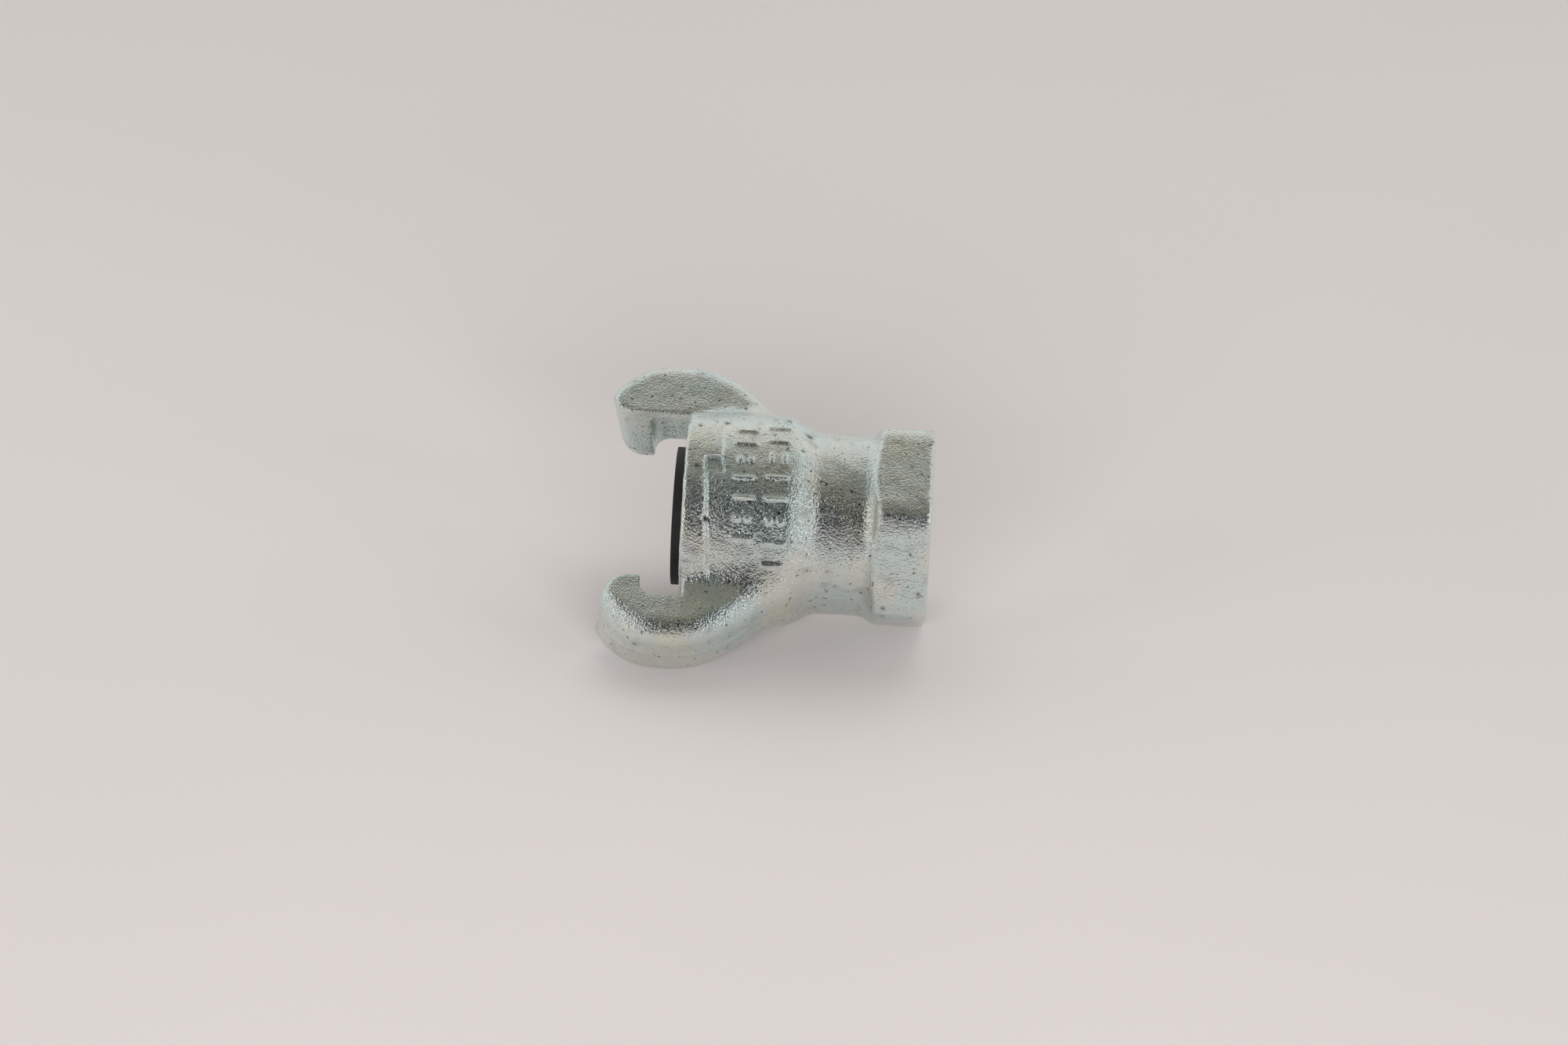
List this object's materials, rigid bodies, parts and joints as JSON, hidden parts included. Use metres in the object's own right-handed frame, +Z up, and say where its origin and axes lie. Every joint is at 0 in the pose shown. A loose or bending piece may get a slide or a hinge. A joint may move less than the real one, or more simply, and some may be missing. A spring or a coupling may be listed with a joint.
{
  "type": "hose claw coupling",
  "caption": "Half of a claw coupling for air or water hose: hooked claws and a rubber gasket at one end, a female pipe thread in a hexagon at the other.",
  "frame": {"origin": "centre of the threaded mouth, in the plane of the hexagon's end face", "axes": "+X along the bore, out of the threaded mouth; the claws are at -X. +Z is up as the part lies on a bench, resting on one claw and a corner of the hexagon."},
  "size_m": [0.0675, 0.0662, 0.045],
  "materials": {
    "zinc_plated_iron": "bright zinc plate over a fine cast skin",
    "black_rubber": "matt"
  },
  "bodies": {
    "coupling_body": {"coupling_body": "zinc_plated_iron"},
    "gasket": {"gasket": "black_rubber"}
  },
  "joints": [
    {"name": "gasket_pull", "type": "slide", "parent": "coupling_body", "child": "gasket", "axis": [-1, 0, 0], "range_m": [0, 0.026], "deforming": ["gasket"]}
  ]
}
